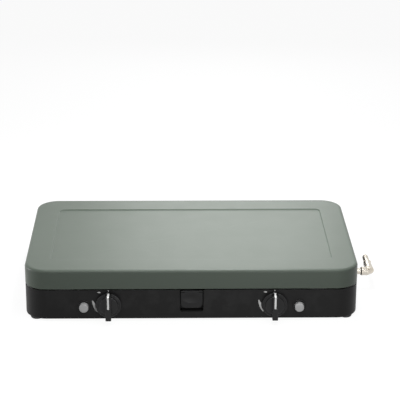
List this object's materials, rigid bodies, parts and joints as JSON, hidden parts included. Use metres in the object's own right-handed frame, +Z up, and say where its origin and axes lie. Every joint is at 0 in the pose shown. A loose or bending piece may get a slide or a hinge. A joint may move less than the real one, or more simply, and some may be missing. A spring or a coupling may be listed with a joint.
{
  "type": "camping stove",
  "caption": "Suitcase-shaped gas camping stove with a hinged painted lid, control knobs, push igniters, a recessed latch and a swivelling hose inlet.",
  "frame": {"origin": "on the floor, midway between the case's side walls and between its front and rear", "axes": "+X to the right seen from the control side, +Y to the back, +Z up"},
  "size_m": [0.5708, 0.3542, 0.0875],
  "materials": {
    "lid_paint": "satin sage-green powder coat",
    "base_paint": "satin black powder coat",
    "stainless": "brushed",
    "zinc_steel": "zinc plated",
    "chrome_wire": "polished wire",
    "inlet_brass": "nickelled brass, satin",
    "tap_brass": "machined",
    "cast_aluminium": "die cast",
    "black_cap": "enamelled black",
    "black_plastic": "moulded, fine grain",
    "grey_plastic": "moulded, satin",
    "white_plastic": "moulded insert",
    "rubber": "matte",
    "white_ceramic": "glazed",
    "sensor_copper": "drawn tube"
  },
  "bodies": {
    "case": {"base_tray": "base_paint", "hob_plate": "stainless", "hob_screws": "zinc_steel", "rubber_feet": "rubber", "foot_screws": "zinc_steel", "lid_buffers": "rubber", "base_hinge_leaf_left": "base_paint", "base_hinge_leaf_right": "base_paint", "hinge_pins": "zinc_steel", "base_rivets": "base_paint", "latch_housing": "black_plastic", "latch_pin": "zinc_steel", "latch_spring": "zinc_steel", "gas_rail": "zinc_steel", "inlet_fitting": "inlet_brass", "inlet_lock_nut": "tap_brass", "inlet_o_ring": "rubber", "valve_nuts": "tap_brass", "injectors": "tap_brass", "igniter_bezels": "black_plastic", "igniter_wires": "rubber", "valve_spring_left": "zinc_steel", "valve_body_left": "tap_brass", "burner_body_left": "cast_aluminium", "igniter_body_left": "black_plastic", "igniter_spring_left": "zinc_steel", "electrode_left": "white_ceramic", "thermocouple_left": "sensor_copper", "valve_spring_right": "zinc_steel", "valve_body_right": "tap_brass", "burner_body_right": "cast_aluminium", "igniter_body_right": "black_plastic", "igniter_spring_right": "zinc_steel", "electrode_right": "white_ceramic", "thermocouple_right": "sensor_copper"},
    "lid": {"lid_shell": "lid_paint", "lid_striker": "zinc_steel", "lid_hinge_leaf_left": "lid_paint", "lid_hinge_leaf_right": "lid_paint", "lid_rivets": "lid_paint"},
    "latch": {"latch_tab": "black_plastic"},
    "elbow": {"inlet_elbow": "inlet_brass", "hose_tail": "inlet_brass"},
    "valve_slide_left": {"valve_thrust_washer_left": "zinc_steel"},
    "control_left": {"knob_left": "black_plastic", "knob_pointer_left": "white_plastic", "valve_spindle_left": "zinc_steel"},
    "valve_core_left": {"valve_plug_left": "tap_brass"},
    "button_left": {"igniter_button_left": "grey_plastic"},
    "grate_left": {"pan_support_left": "chrome_wire"},
    "cap_left": {"burner_cap_left": "black_cap"},
    "valve_slide_right": {"valve_thrust_washer_right": "zinc_steel"},
    "control_right": {"knob_right": "black_plastic", "knob_pointer_right": "white_plastic", "valve_spindle_right": "zinc_steel"},
    "valve_core_right": {"valve_plug_right": "tap_brass"},
    "button_right": {"igniter_button_right": "grey_plastic"},
    "grate_right": {"pan_support_right": "chrome_wire"},
    "cap_right": {"burner_cap_right": "black_cap"}
  },
  "joints": [
    {"name": "lid_hinge", "type": "hinge", "parent": "case", "child": "lid", "pos_m": [0, 0.167, 0.054], "axis": [-1, 0, 0], "range_deg": [0, 100]},
    {"name": "latch_pull", "type": "hinge", "parent": "case", "child": "latch", "pos_m": [0, -0.154, 0.044], "axis": [-1, 0, 0], "range_deg": [0, 22], "stiffness_Nm_per_rad": 0.05, "springref_deg": -17.19, "deforming": ["latch_spring"]},
    {"name": "elbow_swivel", "type": "hinge", "parent": "case", "child": "elbow", "pos_m": [0.2898, -0.03, 0.0295], "axis": [1, 0, 0], "range_deg": [-15, 195]},
    {"name": "knob_push_left", "type": "slide", "parent": "case", "child": "valve_slide_left", "axis": [0, 1, 0], "range_m": [0, 0.003], "stiffness_N_per_m": 1000, "springref_m": -0.003, "deforming": ["valve_spring_left"]},
    {"name": "knob_turn_left", "type": "hinge", "parent": "valve_slide_left", "child": "control_left", "pos_m": [-0.1315, -0.1612, 0.029], "axis": [0, -1, 0], "range_deg": [0, 130]},
    {"name": "plug_turn_left", "type": "hinge", "parent": "case", "child": "valve_core_left", "pos_m": [-0.1315, -0.135, 0.029], "axis": [0, -1, 0], "range_deg": [0, 130]},
    {"name": "igniter_push_left", "type": "slide", "parent": "case", "child": "button_left", "axis": [0, 1, 0], "range_m": [0, 0.004], "stiffness_N_per_m": 900, "springref_m": -0.002, "deforming": ["igniter_spring_left"]},
    {"name": "grate_lift_left", "type": "slide", "parent": "case", "child": "grate_left", "axis": [0, 0, 1], "range_m": [0, 0.006]},
    {"name": "cap_lift_left", "type": "slide", "parent": "case", "child": "cap_left", "axis": [0, 0, 1], "range_m": [0, 0.006]},
    {"name": "knob_push_right", "type": "slide", "parent": "case", "child": "valve_slide_right", "axis": [0, 1, 0], "range_m": [0, 0.003], "stiffness_N_per_m": 1000, "springref_m": -0.003, "deforming": ["valve_spring_right"]},
    {"name": "knob_turn_right", "type": "hinge", "parent": "valve_slide_right", "child": "control_right", "pos_m": [0.1315, -0.1612, 0.029], "axis": [0, -1, 0], "range_deg": [0, 130]},
    {"name": "plug_turn_right", "type": "hinge", "parent": "case", "child": "valve_core_right", "pos_m": [0.1315, -0.135, 0.029], "axis": [0, -1, 0], "range_deg": [0, 130]},
    {"name": "igniter_push_right", "type": "slide", "parent": "case", "child": "button_right", "axis": [0, 1, 0], "range_m": [0, 0.004], "stiffness_N_per_m": 900, "springref_m": -0.002, "deforming": ["igniter_spring_right"]},
    {"name": "grate_lift_right", "type": "slide", "parent": "case", "child": "grate_right", "axis": [0, 0, 1], "range_m": [0, 0.006]},
    {"name": "cap_lift_right", "type": "slide", "parent": "case", "child": "cap_right", "axis": [0, 0, 1], "range_m": [0, 0.006]}
  ],
  "couplings": [
    {"joint": "plug_turn_left", "follows": "knob_turn_left", "ratio": 1},
    {"joint": "plug_turn_right", "follows": "knob_turn_right", "ratio": 1}
  ]
}
